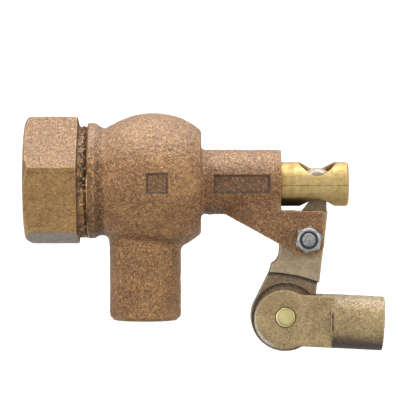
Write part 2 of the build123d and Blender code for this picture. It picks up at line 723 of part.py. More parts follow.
with BuildPart() as pivot_bolt:
    with BuildSketch(head_plane):
        RegularPolygon(hex_radius(BOLT_HEAD_FLATS), 6)
    extrude(amount=BOLT_HEAD)
    chamfer(pivot_bolt.faces().sort_by(Axis.Y)[-1].edges(), BOLT_HEAD_CHAMFER)
    with BuildSketch(head_plane):
        Circle(BOLT_R)
    extrude(amount=-(2 * EAR_OUTER_Y + WASHER_THICKNESS + NUT_HEIGHT + STUD_END))
    chamfer(pivot_bolt.faces().sort_by(Axis.Y)[0].edges(), BOLT_END_CHAMFER)
save(pivot_bolt.part, "pivot_bolt")

with BuildPart() as pivot_washer:
    with BuildSketch(facing(PIVOT_X, EAR_OUTER_Y, PIVOT_Z, 1)):
        Circle(WASHER_R)
        Circle(BOLT_R + WASHER_CLEARANCE, mode=Mode.SUBTRACT)
    extrude(amount=WASHER_THICKNESS)
save(pivot_washer.part, "pivot_washer")

with BuildPart() as lock_nut:
    with BuildSketch(nut_plane):
        RegularPolygon(hex_radius(NUT_FLATS), 6, rotation=NUT_TURN)
    extrude(amount=NUT_HEX)
    chamfer(lock_nut.faces().sort_by(Axis.Y)[0].edges(), NUT_CORNER_HEIGHT, NUT_CORNER_DEPTH)
    with BuildSketch(nut_plane):
        Circle(NUT_CROWN_R)
    extrude(amount=NUT_HEIGHT)
    fillet(lock_nut.faces().sort_by(Axis.Y)[0].edges(), NUT_CROWN_EDGE)
    with BuildSketch(nut_plane):
        Circle(BOLT_R + NUT_THREAD_CLEARANCE)
    extrude(amount=NUT_HEIGHT, mode=Mode.SUBTRACT)
    with BuildSketch(nut_plane.offset(NUT_HEIGHT)):
        Circle(INSERT_R)
    extrude(amount=-INSERT_DEPTH, mode=Mode.SUBTRACT)
save(lock_nut.part, "lock_nut")

with BuildPart() as lock_nut_insert:
    with BuildSketch(nut_plane.offset(NUT_HEIGHT - INSERT_DEPTH)):
        Circle(INSERT_R)
        Circle(BOLT_R + NUT_THREAD_CLEARANCE, mode=Mode.SUBTRACT)
    extrude(amount=INSERT_DEPTH - INSERT_SUNK)
save(lock_nut_insert.part, "lock_nut_insert")

# ---- clevis bolt, screwed into the front cheek from behind, and its lock washer -------------------------
clevis_head_plane = facing(CLEVIS_X, CHEEK_OUTER + LOCK_WASHER_THICKNESS, CLEVIS_Z, 1)
with BuildPart() as clevis_bolt:
    with BuildSketch(clevis_head_plane):
        RegularPolygon(hex_radius(CLEVIS_HEAD_FLATS), 6, rotation=CLEVIS_HEAD_TURN)
    extrude(amount=CLEVIS_HEAD)
    chamfer(clevis_bolt.faces().sort_by(Axis.Y)[-1].edges(), BOLT_HEAD_CHAMFER)
    with BuildSketch(clevis_head_plane):
        Circle(CLEVIS_BOLT_R)
    extrude(amount=-(2 * CHEEK_OUTER + LOCK_WASHER_THICKNESS + CLEVIS_BOLT_PROUD))
    chamfer(clevis_bolt.faces().sort_by(Axis.Y)[0].edges(), CLEVIS_BOLT_CHAMFER)
save(clevis_bolt.part, "clevis_bolt")

with BuildPart() as clevis_lock_washer:
    with BuildSketch(facing(CLEVIS_X, CHEEK_OUTER, CLEVIS_Z, 1)):
        Circle(LOCK_WASHER_R)
        Circle(CLEVIS_BOLT_R + WASHER_CLEARANCE, mode=Mode.SUBTRACT)
        with Locations((LOCK_WASHER_R, 0)):
            Rectangle(LOCK_WASHER_R, LOCK_WASHER_SPLIT, mode=Mode.SUBTRACT)
    extrude(amount=LOCK_WASHER_THICKNESS)
save(clevis_lock_washer.part, "clevis_lock_washer")
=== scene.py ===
"""Looks of the float valve: sand-cast bronze skins, turned brass, plated fasteners, threads and pipe
sealant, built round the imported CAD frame. Objects are in metres, in the CAD model's frame. Places on the
valve, masks and pattern sizes are in millimetres."""

import json
import math
import random
from functools import reduce

import bmesh
import bpy
import numpy as np
from mathutils import Matrix, Vector, noise


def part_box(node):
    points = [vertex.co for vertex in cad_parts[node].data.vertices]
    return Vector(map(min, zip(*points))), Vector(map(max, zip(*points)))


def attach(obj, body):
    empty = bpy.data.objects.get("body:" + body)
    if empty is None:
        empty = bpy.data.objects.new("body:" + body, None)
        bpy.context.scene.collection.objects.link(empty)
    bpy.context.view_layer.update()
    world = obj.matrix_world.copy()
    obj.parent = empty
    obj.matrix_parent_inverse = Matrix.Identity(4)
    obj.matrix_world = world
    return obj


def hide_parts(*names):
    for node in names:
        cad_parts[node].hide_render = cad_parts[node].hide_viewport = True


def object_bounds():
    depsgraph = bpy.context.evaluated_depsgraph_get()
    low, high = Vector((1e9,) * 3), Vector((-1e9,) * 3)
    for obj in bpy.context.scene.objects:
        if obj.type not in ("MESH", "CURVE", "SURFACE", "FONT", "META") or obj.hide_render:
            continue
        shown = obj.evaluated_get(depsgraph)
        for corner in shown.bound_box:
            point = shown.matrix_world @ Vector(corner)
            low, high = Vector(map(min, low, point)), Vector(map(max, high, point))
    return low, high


MM = 0.001
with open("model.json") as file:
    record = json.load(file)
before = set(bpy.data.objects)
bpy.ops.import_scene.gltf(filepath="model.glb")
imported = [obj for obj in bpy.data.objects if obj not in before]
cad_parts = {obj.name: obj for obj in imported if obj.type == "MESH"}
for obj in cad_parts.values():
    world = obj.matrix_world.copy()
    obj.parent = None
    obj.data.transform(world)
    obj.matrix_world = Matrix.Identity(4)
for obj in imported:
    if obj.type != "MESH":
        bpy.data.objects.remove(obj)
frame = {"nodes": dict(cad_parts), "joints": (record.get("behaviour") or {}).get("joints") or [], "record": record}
cad_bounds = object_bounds()
scene = bpy.context.scene


# ---- places on the valve, in millimetres -----------------------------------------------------------------
def box_mm(node):
    """The low and high corners of a CAD node's box."""
    low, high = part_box(node)
    return low / MM, high / MM


mounts = {m["name"]: m for m in frame["record"]["mounts"]}
joints = {j["name"]: j for j in frame["joints"]}
inlet = mounts["inlet"]
outlet = mounts["outlet"]
rod = mounts["rod_socket"]
body_low = box_mm("valve_body")[0]
gasket_high = box_mm("adapter_gasket")[1]
plunger_low, plunger_high = box_mm("plunger")
arm_pin = Vector(joints["arm_angle"]["pos_m"]) / MM
outlet_x = outlet["pos_m"][0] / MM
outlet_r = outlet["dims"]["r_mm"]
spigot_bevel_top = outlet["pos_m"][2] / MM
collar_face = body_low.x

# Sizes of the CAD model that the frame doesn't give.
PLUNGER_REACH = 31.4  # from the barrel's end to the plunger's end
barrel_end = plunger_high.x - PLUNGER_REACH
HEX_END = 25.0  # the hex's inner end, where the neck starts
GLOBE_X = 60.45  # the globe's centre
LEDGE_START = Vector((113.9, 0, -42.2))
LEDGE_LENGTH = 23.4
LEDGE_SAG = (3.96, 0.74)  # of the parabola that the lever's ledge follows
CHEEK_R = 14.0
RECESS_R = 15.8

# Where marks lie, and where one look gives way to the next. These are near the CAD's edges, not on them.
TOOL_MARK_Z = 4.6
# Where a painted highlight runs along the collar's edge.
COLLAR_HIGHLIGHT_X = 32.5
# Where painted shade darkens the collar's foot.
DARK_COLLAR_X = 35.5
CASTING_PIT = Vector((40.0, 0, -21.8))
BROWN_BARREL_X = 83.5
SMOOTH_YOKE_X = 88.0
UNDER_BARREL_Z = -12.0
BARREL_PANEL = (101.0, -0.8, 25.4, 7.8)  # centre x, centre z, width and height
GLOBE_PANEL = (61.9, -0.4, 9.2, 8.6)
SOCKET_CREASE = 21.9  # from the arm's pin


# ---- material nodes --------------------------------------------------------------------------------------
def rgba(rgb):
    """A linear colour from 0 to 255 sRGB numbers."""
    return tuple(((c / 255 + 0.055) / 1.055) ** 2.4 for c in rgb) + (1.0,)


def shade(rgb, share, lift=0):
    """A darker or lighter version of a colour."""
    return tuple(min(255, c * share + lift) for c in rgb)


class Finish:
    """One Principled material and short calls for its procedural nodes. Places and pattern sizes are in
    millimetres in the CAD frame, so each pattern has its real scale."""

    def __init__(self, name, metallic=1.0, roughness=0.5):
        self.material = bpy.data.materials.new(name)
        self.material.use_nodes = True
        self.tree = self.material.node_tree
        self.shader = self.tree.nodes["Principled BSDF"]
        self.shader.inputs["Metallic"].default_value = metallic
        self.shader.inputs["Roughness"].default_value = roughness
        metres = self.add("ShaderNodeTexCoord").outputs["Object"]
        scaled = self.add("ShaderNodeVectorMath", {"operation": "SCALE"}, Vector=metres, Scale=1 / MM)
        self.place = scaled.outputs[0]
        self.x, self.y, self.z = self.add("ShaderNodeSeparateXYZ", Vector=self.place).outputs

    def add(self, kind, settings=(), **inputs):
        node = self.tree.nodes.new(kind)
        for key, value in dict(settings).items():
            setattr(node, key, value)
        for key, value in inputs.items():
            self.feed(node.inputs[key], value)
        return node

    def feed(self, socket, value):
        if isinstance(value, bpy.types.NodeSocket):
            self.tree.links.new(value, socket)
        else:
            socket.default_value = value

    # Arithmetic
    def math(self, operation, a, b=0.0, clamp=False):
        node = self.add("ShaderNodeMath", {"operation": operation, "use_clamp": clamp})
        self.feed(node.inputs[0], a)
        self.feed(node.inputs[1], b)
        return node.outputs[0]

    def plus(self, a, b):
        return self.math("ADD", a, b)

    def minus(self, a, b):
        return self.math("SUBTRACT", a, b)

    def product(self, *values):
        return reduce(lambda a, b: self.math("MULTIPLY", a, b), values)

    def largest(self, *values):
        return reduce(lambda a, b: self.math("MAXIMUM", a, b), values)

    def squares(self, a, b):
        return self.plus(self.product(a, a), self.product(b, b))

    def hypot(self, a, b):
        return self.math("SQRT", self.squares(a, b))

    # Masks
    def ramp(self, value, low, high, to_low=0.0, to_high=1.0):
        """A smooth step from to_low at low to to_high at high."""
        node = self.add("ShaderNodeMapRange", {"interpolation_type": "SMOOTHSTEP"})
        for socket, number in zip(node.inputs, (value, low, high, to_low, to_high)):
            self.feed(socket, number)
        return node.outputs[0]

    def past(self, value, at, blur, strength=1.0):
        return self.ramp(value, at - blur, at + blur, 0.0, strength)

    def before(self, value, at, blur, strength=1.0):
        return self.ramp(value, at - blur, at + blur, strength, 0.0)

    def near(self, value, at, core, edge, strength=1.0):
        """A band round a value: full strength within core of it, and nothing past edge."""
        return self.ramp(self.math("ABSOLUTE", self.minus(value, at)), core, edge, strength, 0.0)

    def facing(self, axis, low, high, strength):
        """A mask by the surface normal's share along an axis: none at low, and full strength at high."""
        normal = self.add("ShaderNodeTexCoord").outputs["Normal"]
        share = self.add("ShaderNodeSeparateXYZ", Vector=normal).outputs[axis]
        return self.ramp(share, low, high, 0.0, strength)

    def from_axis(self, centre):
        """The distance from an axis along Y."""
        return self.hypot(self.minus(self.x, centre.x), self.minus(self.z, centre.z))

    # Patterns
    def noise(self, size_mm, detail=2.0, roughness=0.55, stretch=None, place=None):
        place = place or self.place
        if stretch:
            place = self.add("ShaderNodeMapping", Vector=place, Scale=stretch).outputs[0]
        settings = {"Vector": place, "Scale": 1 / size_mm, "Detail": detail, "Roughness": roughness}
        return self.add("ShaderNodeTexNoise", **settings).outputs[0]

    def wander(self, size_mm, reach_mm, detail=2.0, roughness=0.55, stretch=None):
        """A drift about zero, for ragged edges."""
        return self.product(self.minus(self.noise(size_mm, detail, roughness, stretch), 0.5), reach_mm)

    def grains(self, size_mm):
        """(distance to the nearest grain's centre, that grain's random number)."""
        node = self.add("ShaderNodeTexVoronoi", Vector=self.place, Scale=1 / size_mm)
        chance = self.add("ShaderNodeSeparateColor", Color=node.outputs["Color"]).outputs[0]
        return node.outputs["Distance"], chance

    # What reaches the shader
    def mix(self, factor, a, b):
        node = self.add("ShaderNodeMix", {"data_type": "RGBA"})
        self.feed(node.inputs[0], factor)
        for socket, value in ((node.inputs[6], a), (node.inputs[7], b)):
            self.feed(socket, rgba(value) if isinstance(value, tuple) else value)
        return node.outputs[2]

    def colour(self, value):
        self.feed(self.shader.inputs["Base Color"], value)

    def metallic(self, value):
        self.feed(self.shader.inputs["Metallic"], value)

    def roughness(self, value):
        self.feed(self.shader.inputs["Roughness"], value)

    def bump(self, height, depth_mm):
        """Adds a bump whose height of 1 stands depth_mm proud."""
        node = self.add("ShaderNodeBump", Height=height, Distance=depth_mm * MM, Strength=1.0)
        previous = self.shader.inputs["Normal"].links
        if previous:
            self.feed(node.inputs["Normal"], previous[0].from_socket)
        self.feed(self.shader.inputs["Normal"], node.outputs[0])


# ---- kinds of finish -------------------------------------------------------------------------------------
CAST_METALLIC = 0.4
TURNED_METALLIC = 0.9


def cast_colours(f, tone, dark, middle, light, tint):
    """Mottled metal between three tones, with broad paler and darker patches. tint is a function that gives
    pairs of a mask and a colour to shade towards; some pairs are painted light or shade."""
    skin = f.mix(f.ramp(tone, 0.38, 0.5), dark, middle)
    skin = f.mix(f.ramp(tone, 0.5, 0.62), skin, light)
    skin = f.mix(f.ramp(f.noise(14, 3), 0.4, 0.7, 0.0, 0.4), skin, light)
    skin = f.mix(f.ramp(f.noise(9, 3, 0.6), 0.45, 0.65, 0.0, 0.4), skin, dark)
    for mask, towards in tint(f):
        skin = f.mix(mask, skin, f.mix(f.ramp(tone, 0.4, 0.6), shade(towards, 0.72), towards))
    return skin


def worn_edges_and_crevice_shade(f, skin, dark, light):
    """Pits are dark, crevices are darkened partly by grime and partly by painted shade, and outer edges
    are worn pale.
    """
    skin = f.mix(f.ramp(f.noise(1.5, 3, 0.6), 0.28, 0.34, 0.6, 0.0), skin, shade(dark, 0.4))
    edge = f.add("ShaderNodeNewGeometry").outputs["Pointiness"]
    # Crevices darkened, partly grime and partly painted shade.
    skin = f.mix(f.ramp(edge, 0.44, 0.49, 0.75, 0.0), skin, shade(dark, 0.4))
    return f.mix(f.ramp(edge, 0.508, 0.545, 0.0, 0.6), skin, shade(light, 1.12))


def turned_rings(f):
    """Bare brass in fine rings about the X axis."""
    turned = f.add("ShaderNodeCombineXYZ", X=f.x, Y=f.hypot(f.y, f.z)).outputs[0]
    rings = f.ramp(f.noise(0.4, 1, place=turned), 0.3, 0.7)
    return f.mix(rings, (176, 134, 70), (226, 188, 118))


def cast_bronze(name, dark, middle, light, tint, dirt_and_shade, machined=None, grain_mm=0.75, roughness=0.5,
                depth_mm=0.16, swell_mm=0.45, steep_mm=0.5, mottled=0.36, speckled=0.1):
    """Sand-cast bronze: mottled tone, sand grain with hollows darkened as painted shade and paler peaks that are
    partly worn metal and partly painted highlight, specks painted as sparkle, pits and worn edges. machined and
    dirt are functions that give masks of the bright turned surfaces and of the dirty ones and those in painted
    shade. mottled is how strongly peaks and hollows show, or a function that gives it over the piece."""
    f = Finish(name)
    f.shader.inputs["Specular IOR Level"].default_value = 0.85
    fine = f.noise(0.42, 2, 0.7)
    tone = f.product(f.plus(f.noise(1.5, 4, 0.75), fine), 0.5)
    distance, chance = f.grains(grain_mm)
    specks = f.ramp(chance, 0.74, 0.8)
    swell = f.noise(0.9, 2, 0.6)
    peaks = f.ramp(swell, 0.52, 0.66)
    hollows = f.ramp(swell, 0.34, 0.45, 0.6, 0.0)
    glint = shade(light, 1.24, 3)
    if callable(mottled):
        mottled = mottled(f)

    skin = cast_colours(f, tone, dark, middle, light, tint)
    # Painted shade in the hollows of the grain, and paler peaks, partly worn metal and partly painted highlight.
    skin = f.mix(f.product(hollows, mottled), skin, shade(dark, 0.55))
    skin = f.mix(f.product(peaks, mottled), skin, glint)
    skin = worn_edges_and_crevice_shade(f, skin, dark, light)
    # Bright specks painted as glints and dark specks painted as shade, together a painted sparkle.
    skin = f.mix(f.product(specks, speckled), skin, glint)
    skin = f.mix(f.ramp(chance, 0.1, 0.15, speckled * 1.2, 0.0), skin, shade(dark, 0.6))
    rough = f.ramp(tone, 0.35, 0.65, roughness + 0.08, roughness - 0.05)
    rough = f.minus(rough, f.product(f.largest(specks, peaks), 0.14))
    height = f.minus(f.product(fine, 1.2), f.product(distance, 0.8))
    metal = CAST_METALLIC
    uneven = 1.0

    if machined:
        mask = machined(f)
        skin = f.mix(mask, skin, turned_rings(f))
        rough = f.minus(rough, f.product(mask, 0.22))
        height = f.product(height, f.ramp(mask, 0, 1, 1.0, 0.12))
        metal = f.ramp(mask, 0, 1, CAST_METALLIC, TURNED_METALLIC)
        uneven = f.ramp(mask, 0, 1, 1.0, 0.06)

    # One dark brown for dirty surfaces and for painted shade, which also makes them rougher and less metallic.
    mask = dirt_and_shade(f)
    skin = f.mix(mask, skin, f.mix(f.ramp(fine, 0.45, 0.6), (34, 19, 11), (76, 48, 30)))
    f.colour(skin)
    f.roughness(f.math("ADD", rough, f.product(mask, 0.2), clamp=True))
    f.metallic(f.product(metal, f.minus(1.0, f.product(mask, 0.8))))

    f.bump(height, depth_mm)
    f.bump(f.product(swell, uneven), swell_mm)
    f.bump(f.product(f.noise(2.2), uneven), swell_mm)
    cones = f.largest(f.minus(0.6, distance), 0.0)
    f.bump(f.product(specks, cones, uneven), steep_mm)
    return f.material


def turned_brass(name, dark, light, roughness, axis="x", extra=None, metallic=1.0):
    """Turned brass with fine tool rings about an axis, faint stains and a few scratches. extra is a function
    that adds its own marks, some of them painted light or shade, to the tone and the roughness."""
    f = Finish(name, metallic)
    stretch = {"x": (1, 0.03, 0.03), "y": (0.03, 1, 0.03)}[axis]
    rings = f.noise(0.16, stretch=stretch)
    stains = f.noise(5, 4, 0.65)
    scratches = f.ramp(f.noise(0.9, stretch=(0.06, 1, 1)), 0.68, 0.74)
    tone = f.mix(f.ramp(f.plus(rings, f.noise(2.2, stretch=stretch)), 0.5, 1.5), dark, light)
    tone = f.mix(f.ramp(stains, 0.5, 0.72, 0.0, 0.3), tone, shade(dark, 0.72))
    rough = f.ramp(stains, 0.4, 0.7, roughness, roughness + 0.16)
    if extra:
        tone, rough = extra(f, tone, rough)
    f.colour(tone)
    f.roughness(f.plus(rough, f.product(scratches, 0.1)))
    f.bump(rings, 0.004)
    f.bump(f.noise(3.0, 3), 0.02)
    return f.material


def plated_steel(name, tone_share=0.86, roughness=0.34):
    """Zinc-plated steel: silver with cloudy spangle, small scuffs and darker spots."""
    f = Finish(name)
    cloud = f.noise(1.4, 4, 0.6)
    dull, bright = shade((186, 187, 184), tone_share), shade((236, 236, 232), tone_share)
    tone = f.mix(f.ramp(cloud, 0.35, 0.65), dull, bright)
    f.colour(f.mix(f.ramp(f.noise(0.8, 3), 0.60, 0.68, 0.0, 0.6), tone, (84, 80, 74)))
    f.roughness(f.ramp(cloud, 0.3, 0.7, roughness + 0.08, roughness - 0.08))
    f.bump(f.noise(0.3, 3), 0.015)
    return f.material


def plain_stuff(name, dark, light, roughness, grain_mm, depth_mm):
    """Rubber, nylon, fibre or sealant: a matt stuff with a mottled tone and a fine grain."""
    f = Finish(name, metallic=0.0)
    grain = f.noise(grain_mm, 3, 0.6)
    f.colour(f.mix(f.ramp(grain, 0.35, 0.65), dark, light))
    f.roughness(f.ramp(f.noise(grain_mm * 4), 0.3, 0.7, roughness - 0.08, roughness + 0.08))
    f.bump(grain, depth_mm)
    return f.material


# ---- marks on the body -----------------------------------------------------------------------------------
def body_tint_and_painted_light(f):
    """The body has reddish patches. The guide barrel, the yoke and the collar are browner. Painted shade darkens
    the collar's foot, and a painted highlight runs along its edge. What faces up is paler as painted light, and
    what faces down is darker as painted shade."""
    yield f.ramp(f.noise(17), 0.5, 0.6, 0.0, 0.3), (150, 98, 64)
    yield f.past(f.x, BROWN_BARREL_X, 1.5, 0.75), (136, 92, 54)
    yield f.before(f.x, DARK_COLLAR_X + 0.5, 1.5, 0.8), (120, 82, 48)
    # Painted shade in the collar's concave foot.
    yield f.near(f.x, DARK_COLLAR_X, 0.5, 2.4, 0.5), (86, 52, 30)
    # A painted highlight along the collar's edge, broken by noise.
    highlight_share = f.ramp(f.noise(2.5, 3), 0.42, 0.58, 0.05, 0.6)
    yield f.product(f.near(f.x, COLLAR_HIGHLIGHT_X, 0.2, 0.6), highlight_share), (210, 162, 102)
    # Painted light on what faces up, and painted shade on what faces down.
    yield f.facing(2, 0.15, 0.75, 0.6), (194, 160, 134)
    yield f.facing(2, -0.66, -0.95, 0.5), (66, 46, 32)


def body_mottle(f):
    """The yoke's flat plates are less mottled than the rest."""
    plates = f.product(f.past(f.x, SMOOTH_YOKE_X, 3.0), f.before(f.z, UNDER_BARREL_Z - 0.5, 1.5))
    return f.ramp(plates, 0, 1, 0.38, 0.14)


def body_machined(f):
    """The collar's face and the ends of the spigot and the barrel are turned."""
    collar = f.before(f.x, collar_face + 0.8, 0.2)
    spigot = f.before(f.z, body_low.z + 0.5, 0.2)
    barrel = f.product(f.past(f.x, barrel_end - 0.25, 0.15), f.past(f.z, UNDER_BARREL_Z, 0.3))
    return f.largest(collar, spigot, barrel)


def panel_shade(f, centre_x, centre_z, width, height, line):
    """A dark border and a duller floor in an upright rectangle on the front of a piece."""
    across = f.math("ABSOLUTE", f.minus(f.x, centre_x))
    along = f.math("ABSOLUTE", f.minus(f.z, centre_z))
    gap = f.largest(f.minus(across, width / 2), f.minus(along, height / 2))
    border = f.near(gap, 0.0, 0.45 * line, line)
    floor = f.ramp(gap, -0.4, 0.0, 0.42, 0.0)
    return f.product(f.largest(border, floor), f.before(f.y, -11.0, 0.5))


def body_dark_marks(f):
    """Darker borders and floors in the two blank panels, and a dark casting pit under the collar."""
    patchy = f.ramp(f.noise(1.2, 3), 0.3, 0.6, 1.0, 0.75)
    panels = f.largest(panel_shade(f, *BARREL_PANEL, 0.75), panel_shade(f, *GLOBE_PANEL, 0.7))
    away = f.plus(f.from_axis(CASTING_PIT), f.product(f.noise(1.6), 3.0))
    pit = f.product(f.ramp(away, 1.6, 2.6, 0.85, 0.0), f.before(f.y, -6.0, 0.5))
    return f.largest(f.product(panels, patchy), pit)


# ---- marks on the hex ------------------------------------------------------------------------------------
def hex_tint_and_painted_reflection(f):
    """The flats that face up are pinker. The lowest one is greyer, a painted reflection of the pale floor."""
    yield f.facing(2, 0.3, 0.5, 0.75), (146, 112, 88)
    # A painted reflection of the pale floor on the lowest flat.
    yield f.facing(2, -0.7, -0.9, 0.8), (122, 110, 90)


def hex_machined(f):
    """Only the inlet face is turned."""
    return f.before(f.x, 0.5, 0.2)


def tool_mark(f):
    """A dark, ragged tool mark across the front flat."""
    height = f.minus(f.z, f.wander(7, 6.0))
    broken = f.ramp(f.noise(2.0, 3), 0.46, 0.56)
    front = f.product(f.before(f.y, -22.0, 1.0), f.past(f.x, 2.5, 0.5, 0.65))
    return f.product(f.near(height, TOOL_MARK_Z, 0.15, 0.55), broken, front)


def hex_dirt_and_shade(f):
    """Dirt on the neck behind the hex and in the tool mark, and painted shade on the hex's inner end."""
    neck = f.product(f.past(f.x, HEX_END + 0.15, 0.1), f.ramp(f.noise(2.4, 3), 0.38, 0.5, 0.9, 0.0))
    # Painted shade on the bevel of the hex's inner end.
    end = f.product(f.past(f.x, HEX_END - 0.4, 0.15, 0.75), f.before(f.x, HEX_END + 0.2, 0.1))
    return f.largest(neck, end, tool_mark(f))


# ---- marks on the lever and the arm ----------------------------------------------------------------------
def lever_tint_and_painted_light(f):
    """The tongue kept a browner skin than the tumbled thick part. The head is paler as painted light, and what
    faces down is dark as painted shade."""
    yield f.ramp(f.math("ABSOLUTE", f.y), 5.8, 6.1, 0.85, 0.0), (122, 96, 62)
    # Painted shade on what faces down.
    yield f.facing(2, -0.3, -0.7, 0.8), (50, 38, 26)
    # Painted light on the top of the head.
    yield f.past(f.z, -1.0, 1.0), (212, 196, 182)


def lever_painted_shade(f):
    """Painted shade in the machined recess round the arm's cheeks, a painted shadow under the ledge of the thick
    part, and painted shade on the side of the neck that faces the barrel."""
    side = f.math("ABSOLUTE", f.y)
    away = f.from_axis(arm_pin)
    # Painted shade in the recess round the cheeks.
    recess = f.product(f.ramp(away, CHEEK_R - 0.1, CHEEK_R + 0.2), f.before(away, RECESS_R - 0.05, 0.15))
    recess = f.product(recess, f.before(side, 5.85, 0.15))
    # A painted shadow under the ledge of the thick part.
    along = f.math("DIVIDE", f.minus(f.x, LEDGE_START.x), LEDGE_LENGTH)
    sag = f.product(along, f.plus(f.product(along, LEDGE_SAG[0]), LEDGE_SAG[1]))
    under = f.minus(f.minus(LEDGE_START.z, sag), f.z)
    ledge = f.product(f.ramp(under, -0.8, -0.4), f.ramp(under, 0.8, 2.0, 1.0, 0.0))
    ledge = f.product(ledge, f.before(side, 6.85, 0.15))
    # Painted shade on the side of the neck that faces the barrel.
    neck = f.product(f.facing(0, -0.4, -0.75, 0.95), f.past(f.z, -20.0, 3.0))
    ragged = f.ramp(f.noise(1.6, 3), 0.35, 0.55, 1.0, 0.7)
    return f.product(f.largest(recess, ledge, neck), ragged)


def clevis_tint_and_painted_light(f):
    """The cheeks' turned rim is pale grey on the left, partly bare turned metal and partly a painted highlight.
    What faces down is dark as painted shade, and what faces up is paler as painted light."""
    # The rim's pale grey: partly bare turned metal, partly a painted highlight.
    rim = f.ramp(f.from_axis(arm_pin), CHEEK_R - 0.3, CHEEK_R - 0.2)
    yield f.product(rim, f.before(f.x, arm_pin.x - 6, 3)), (214, 206, 196)
    # Painted shade on what faces down, and painted light on what faces up.
    yield f.facing(2, -0.6, -0.9, 0.7), (56, 42, 28)
    yield f.facing(2, 0.45, 0.9, 0.5), (212, 192, 168)


def clevis_painted_shade(f):
    """Painted shade in the crease where the socket leaves the cheek, on the socket's underside and round the pin.
    """
    along = f.minus(f.x, arm_pin.x + SOCKET_CREASE)
    down = f.minus(f.z, arm_pin.z)
    ragged = f.ramp(f.noise(2.2, 3), 0.3, 0.5, 0.3, 1.0)
    # Painted shade in the crease where the socket leaves the cheek.
    crease = f.product(f.near(along, 0.0, 0.2, 0.75), f.near(down, -2.0, 3.0, 6.0), ragged)
    crease = f.product(crease, f.before(f.y, -8.0, 1.0))
    # Painted shade on the socket's underside.
    underside = f.plus(f.plus(down, f.wander(4, 7.0, 4, 0.7)), f.product(along, 0.13))
    underside = f.product(f.ramp(underside, -11.4, -5.0, 0.9, 0.0), f.ramp(along, -1.6, 0.6))
    # A painted shadow round the pin.
    pin = f.product(f.ramp(f.from_axis(arm_pin), 4.6, 5.6, 0.7, 0.0), f.before(f.y, -5.0, 0.5))
    return f.largest(crease, underside, pin)


def pin_painted_light(f, tone, rough):
    """Painted light on the end of the clevis bolt: a ring of painted shade inside a painted highlight on its rim.
    """
    away = f.from_axis(arm_pin + Vector((0.25, 0, 0.2)))
    # A ring of painted shade, then a painted highlight on the rim.
    shade_ring = f.product(f.near(away, 3.75, 0.1, 0.5, 0.55), f.ramp(f.noise(5), 0.3, 0.6, 0.35, 1.0))
    tone = f.mix(shade_ring, tone, (120, 100, 44))
    return f.mix(f.ramp(away, 4.0, 4.3, 0.0, 0.7), tone, (240, 232, 178)), rough


# ---- marks on the plunger --------------------------------------------------------------------------------
def plunger_marks_and_painted_light(f, tone, rough):
    """Brown stains, pale streaks painted as highlight, two lines scored along the front, painted shade on the
    walls of the cross hole, and painted shade with a painted reflection of the dark yoke on the underside, where
    the plunger slides over the yoke."""
    stain = f.ramp(f.noise(2.0, 5, 0.75, stretch=(0.6, 1, 1)), 0.5, 0.62, 0.0, 0.35)
    tone = f.mix(stain, tone, (146, 112, 62))
    # Pale streaks painted as highlight.
    gleam = f.ramp(f.noise(1.2, 4, 0.7, stretch=(0.5, 1, 1)), 0.54, 0.66, 0.0, 0.35)
    tone = f.mix(gleam, tone, (226, 212, 168))

    front = f.before(f.y, -6.0, 0.5)
    broken = f.ramp(f.noise(3, stretch=(1, 0.1, 0.1)), 0.35, 0.6, 0.35, 1.0)
    for height, width, strength in ((-1.6, 0.26, 0.8), (-5.6, 0.3, 0.25)):
        line = f.near(f.z, height, 0.3 * width, width, strength)
        tone = f.mix(f.product(line, broken, front), tone, (58, 40, 18))

    # Painted shade on the walls of the cross hole.
    squared = f.squares(f.minus(f.z, (plunger_low.z + plunger_high.z) / 2), f.y)
    walls = f.ramp(squared, (plunger_high.y - 1.2) ** 2, (plunger_high.y - 0.4) ** 2, 0.8, 0.0)
    walls = f.product(walls, f.before(f.x, plunger_high.x - 0.5, 0.2))
    tone = f.mix(walls, tone, (128, 84, 30))

    # Painted shade and a painted reflection of the dark yoke on the underside.
    height = f.plus(f.z, f.wander(5, 2.5, stretch=(0.3, 1, 1)))
    underside_shade = f.product(f.ramp(height, -8.4, -6.2, 1.0, 0.0), f.before(f.x, 134.0, 6.0))
    tone = f.mix(f.product(underside_shade, 0.85), tone, (40, 22, 10))
    return tone, f.plus(rough, f.product(underside_shade, 0.2))


# ---- the finishes ----------------------------------------------------------------------------------------
body_bronze = cast_bronze(
    "body_bronze", (90, 60, 34), (140, 97, 54), (185, 141, 89), body_tint_and_painted_light, body_dark_marks, body_machined,
    steep_mm=0.75, mottled=body_mottle, speckled=0.28,
)
hex_bronze = cast_bronze(
    "hex_bronze", (116, 81, 40), (154, 115, 63), (186, 146, 90), hex_tint_and_painted_reflection, hex_dirt_and_shade, hex_machined,
    grain_mm=0.7, roughness=0.45, depth_mm=0.08, swell_mm=0.3, steep_mm=0.25, mottled=0.24,
)
lever_bronze = cast_bronze(
    "lever_bronze", (132, 112, 82), (162, 142, 110), (184, 164, 132), lever_tint_and_painted_light, lever_painted_shade,
    grain_mm=0.6, roughness=0.48, depth_mm=0.05, swell_mm=0.12, steep_mm=0.1, mottled=0.1,
)
clevis_bronze = cast_bronze(
    "clevis_bronze", (112, 90, 56), (152, 128, 86), (190, 166, 120), clevis_tint_and_painted_light, clevis_painted_shade,
    grain_mm=0.7, roughness=0.42, depth_mm=0.1, swell_mm=0.35, steep_mm=0.4, mottled=0.24,
)
plunger_brass = turned_brass(
    "plunger_brass", (186, 160, 102), (207, 183, 126), 0.5, extra=plunger_marks_and_painted_light, metallic=0.85,
)
pin_brass = turned_brass("pin_brass", (204, 190, 126), (230, 221, 168), 0.36, "y", pin_painted_light)
inner_brass = turned_brass("inner_brass", (184, 150, 88), (216, 186, 124), 0.3)
seat_steel = plated_steel("seat_steel")
zinc = plated_steel("zinc_plate", 0.8)
stud_steel = plated_steel("stud_steel", 0.72, 0.5)
